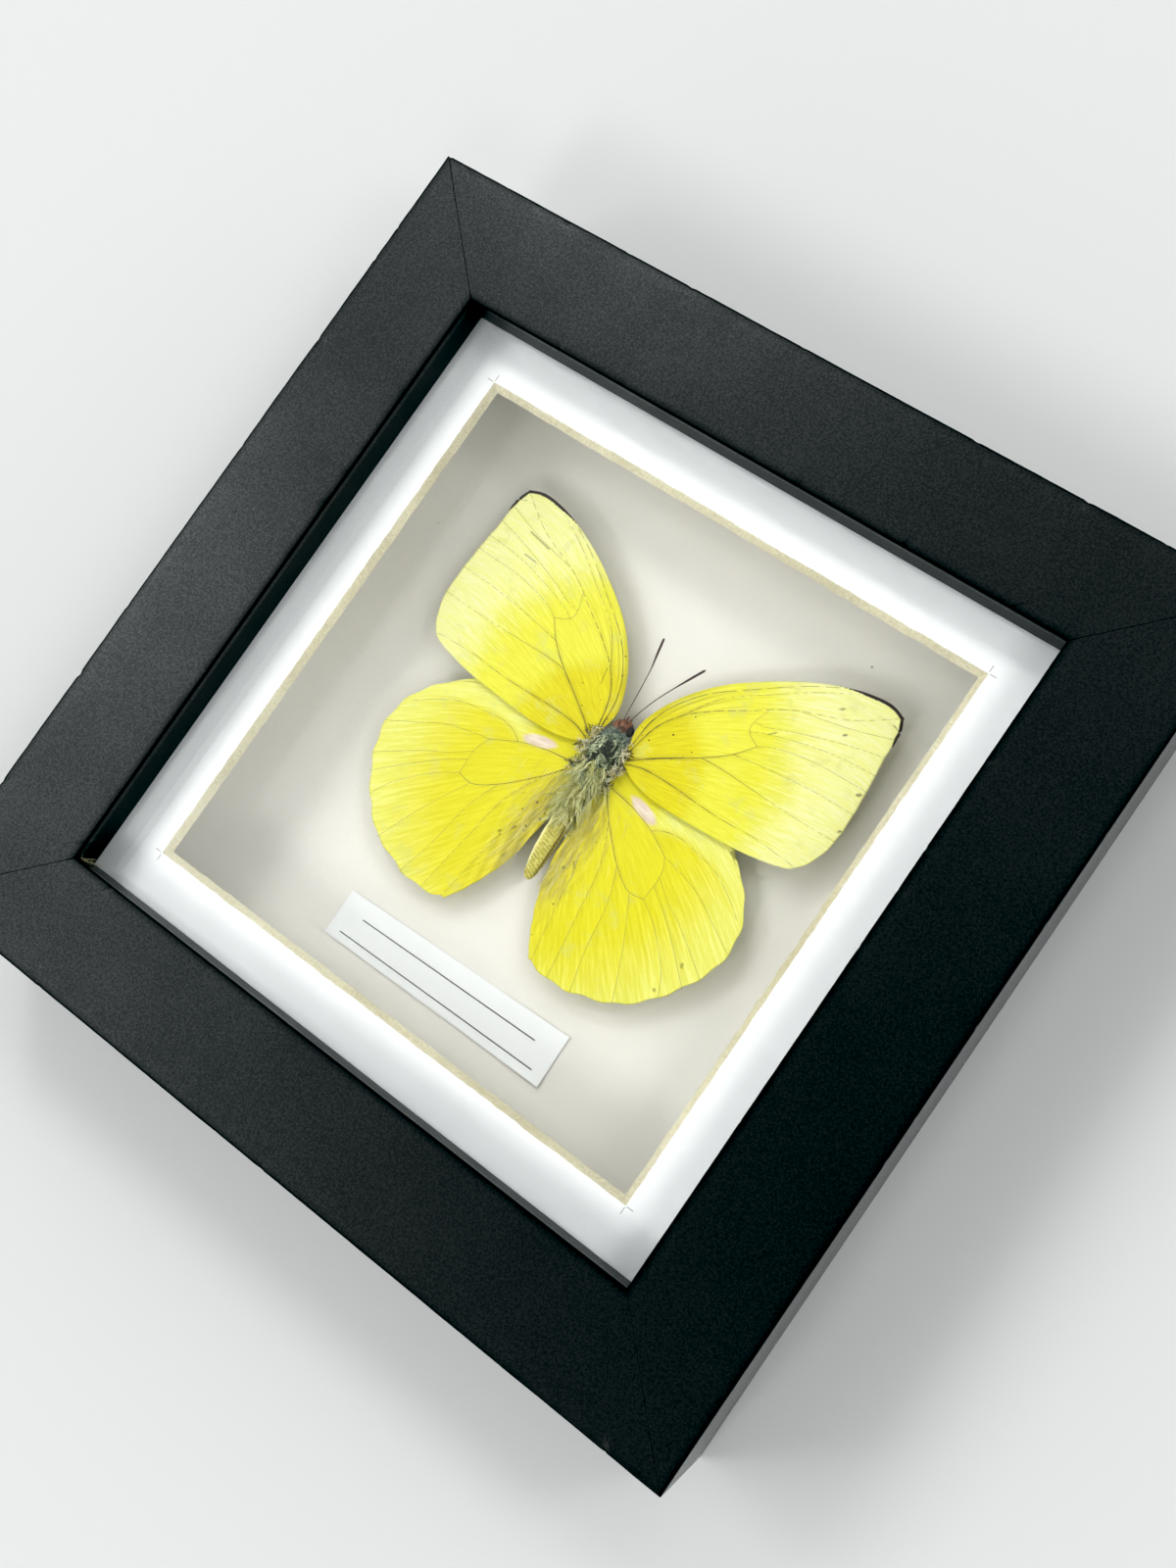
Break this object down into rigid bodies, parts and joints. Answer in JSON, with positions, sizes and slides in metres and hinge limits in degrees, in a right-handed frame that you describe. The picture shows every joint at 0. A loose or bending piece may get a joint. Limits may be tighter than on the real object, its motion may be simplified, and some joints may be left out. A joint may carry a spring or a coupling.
{
  "type": "framed butterfly specimen",
  "caption": "Spread yellow butterfly floating in a square black box frame behind glass, with a bevelled white mat, a white mounting board and a blank paper label strip.",
  "frame": {"origin": "middle of the rear face of the frame, which is the face it lies on", "axes": "+Z out of the glass, +Y towards the butterfly's head and the frame's top rail, +X to the right as the frame is looked at"},
  "size_m": [0.14, 0.14, 0.031],
  "materials": {
    "black_foil": "fibreboard wrapped in matte black paper with a fine mottled grain",
    "clear_glass": "clear, flat, polished",
    "mat_board": "bright white paper face, cream core at the bevel",
    "mounting_card": "warm white, matte",
    "white_foam": "white foam strip, cut edges",
    "label_paper": "cool white printing paper",
    "brown_hardboard": "pressed hardboard, smooth face",
    "zinc_steel": "thin zinc plated steel",
    "wing_yellow": "lemon yellow scales, paler towards the tip, thin dark edge at the apex",
    "wing_pale_yellow": "lemon yellow scales, paler at the leading edge, pinkish white patch near the root",
    "grey_green_hair": "long grey green hair over a dark body",
    "brown_horn": "dark reddish brown, slightly glossy"
  },
  "bodies": {
    "root": {"rail_bottom": "black_foil", "rail_right": "black_foil", "rail_top": "black_foil", "rail_left": "black_foil", "retaining_tab_bottom_1": "zinc_steel", "retaining_tab_bottom_2": "zinc_steel", "retaining_tab_right_1": "zinc_steel", "retaining_tab_right_2": "zinc_steel", "retaining_tab_top_1": "zinc_steel", "retaining_tab_top_2": "zinc_steel", "retaining_tab_left_1": "zinc_steel", "retaining_tab_left_2": "zinc_steel", "glass_pane": "clear_glass", "window_mat": "mat_board", "spacer_top": "white_foam", "spacer_bottom": "white_foam", "spacer_left": "white_foam", "spacer_right": "white_foam", "mounting_board": "mounting_card", "label_strip": "label_paper", "back_panel": "brown_hardboard", "sawtooth_hanger": "zinc_steel", "hanger_rivet_left": "zinc_steel", "hanger_rivet_right": "zinc_steel", "glue_pad": "white_foam", "butterfly_body": "grey_green_hair", "forewing_left": "wing_yellow", "forewing_right": "wing_yellow", "hindwing_left": "wing_pale_yellow", "hindwing_right": "wing_pale_yellow", "antenna_left": "brown_horn", "antenna_right": "brown_horn"}
  },
  "joints": []
}
